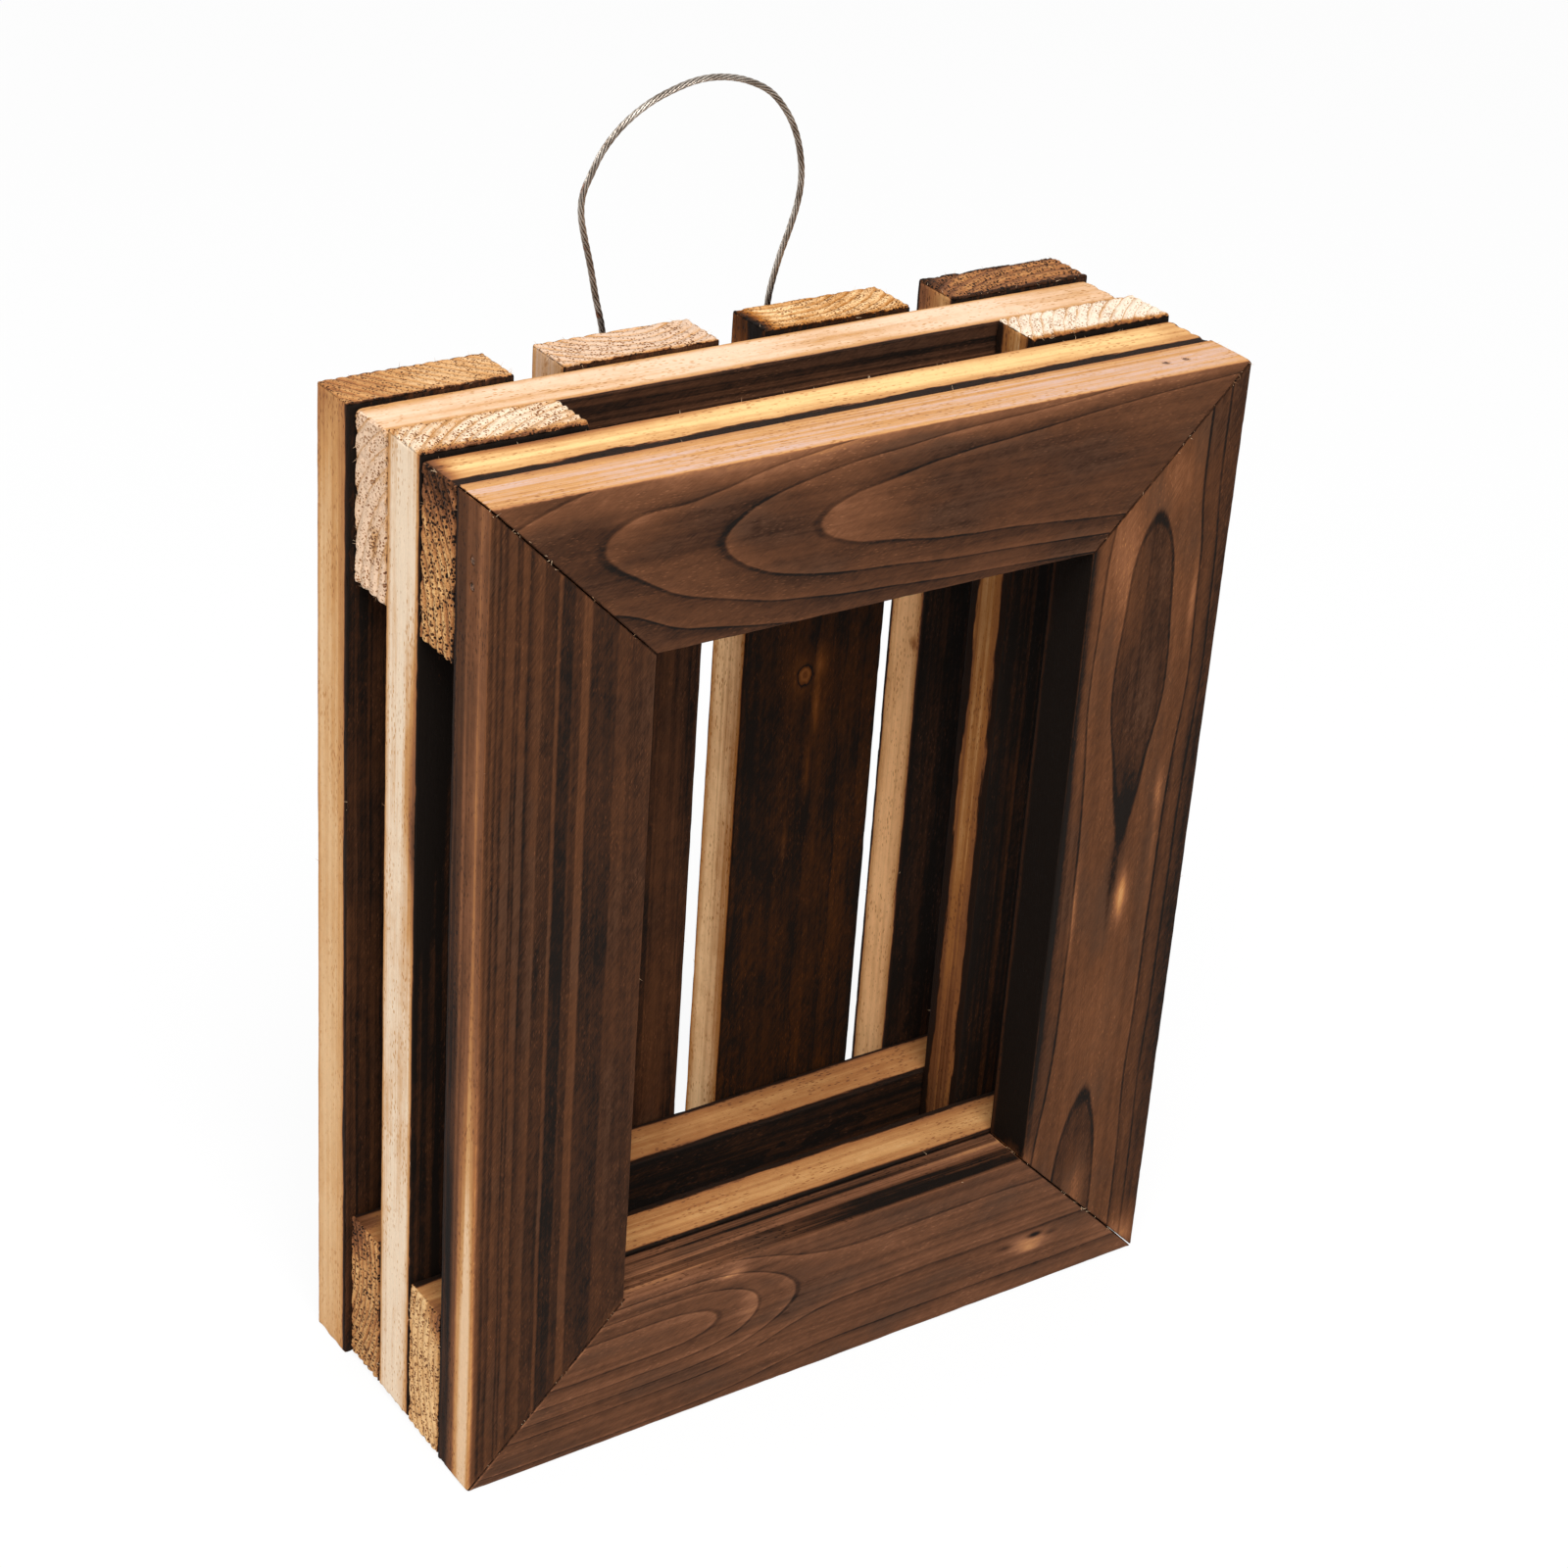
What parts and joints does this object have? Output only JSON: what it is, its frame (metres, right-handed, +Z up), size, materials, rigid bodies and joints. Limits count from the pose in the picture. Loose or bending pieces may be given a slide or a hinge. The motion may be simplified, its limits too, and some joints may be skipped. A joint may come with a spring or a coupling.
{
  "type": "staghorn fern mounting board",
  "caption": "Slatted, open-fronted hanging box frame of charred softwood with a mitred front and a steel wire loop, for growing a staghorn fern on a wall.",
  "frame": {"origin": "centre of the wooden box's footprint, at its foot", "axes": "+X to the right of someone facing the open front, +Y towards the back, +Z up; the front frame faces -Y"},
  "size_m": [0.2416, 0.1029, 0.3679],
  "materials": {
    "charred_frame_wood": "charred and brushed, satin brown-black with pinkish tan edges",
    "charred_slat_wood": "charred faces, pale tan sawn edges",
    "charred_rail_wood": "charred faces, honey and grey-tan edges, orange-brown end grain",
    "pale_side_wood": "pale sawn edges and ends, charred faces",
    "nail_steel": "bright wire nail",
    "wire_rope_steel": "stainless wire rope, twisted strands",
    "ferrule_aluminium": "crimped, dull",
    "screw_eye_zinc": "zinc plated"
  },
  "bodies": {
    "board": {"back_slat_1": "charred_slat_wood", "back_slat_2": "charred_slat_wood", "back_slat_3": "charred_slat_wood", "back_slat_4": "charred_slat_wood", "frame_bottom": "charred_frame_wood", "frame_left": "charred_frame_wood", "frame_nail_bottom_left": "nail_steel", "frame_nail_bottom_right": "nail_steel", "frame_nail_top_left": "nail_steel", "frame_nail_top_right": "nail_steel", "frame_right": "charred_frame_wood", "frame_top": "charred_frame_wood", "front_rail_bottom": "charred_rail_wood", "front_rail_nail_bottom_left": "nail_steel", "front_rail_nail_bottom_right": "nail_steel", "front_rail_nail_top_left": "nail_steel", "front_rail_nail_top_right": "nail_steel", "front_rail_top": "charred_rail_wood", "mitre_brad_bottom_left_1": "nail_steel", "mitre_brad_bottom_left_2": "nail_steel", "mitre_brad_bottom_right_1": "nail_steel", "mitre_brad_bottom_right_2": "nail_steel", "mitre_brad_top_left_1": "nail_steel", "mitre_brad_top_left_2": "nail_steel", "mitre_brad_top_right_1": "nail_steel", "mitre_brad_top_right_2": "nail_steel", "rear_rail_bottom": "charred_rail_wood", "rear_rail_nail_bottom_left": "nail_steel", "rear_rail_nail_bottom_right": "nail_steel", "rear_rail_nail_top_left": "nail_steel", "rear_rail_nail_top_right": "nail_steel", "rear_rail_top": "charred_rail_wood", "screw_eye_left": "screw_eye_zinc", "screw_eye_right": "screw_eye_zinc", "side_slat_left": "pale_side_wood", "side_slat_right": "pale_side_wood", "slat_nail_1_bottom_1": "nail_steel", "slat_nail_1_bottom_2": "nail_steel", "slat_nail_1_top_1": "nail_steel", "slat_nail_1_top_2": "nail_steel", "slat_nail_2_bottom_1": "nail_steel", "slat_nail_2_bottom_2": "nail_steel", "slat_nail_2_top_1": "nail_steel", "slat_nail_2_top_2": "nail_steel", "slat_nail_3_bottom_1": "nail_steel", "slat_nail_3_bottom_2": "nail_steel", "slat_nail_3_top_1": "nail_steel", "slat_nail_3_top_2": "nail_steel", "slat_nail_4_bottom_1": "nail_steel", "slat_nail_4_bottom_2": "nail_steel", "slat_nail_4_top_1": "nail_steel", "slat_nail_4_top_2": "nail_steel"},
    "hanger": {"hanging_wire": "wire_rope_steel", "wire_ferrule_left": "ferrule_aluminium", "wire_ferrule_right": "ferrule_aluminium"}
  },
  "joints": [
    {"name": "hanger_swing", "type": "hinge", "parent": "board", "child": "hanger", "pos_m": [-0.00255, 0.05335, 0.2678], "axis": [-1, 0, 0], "range_deg": [-11, 180]}
  ]
}
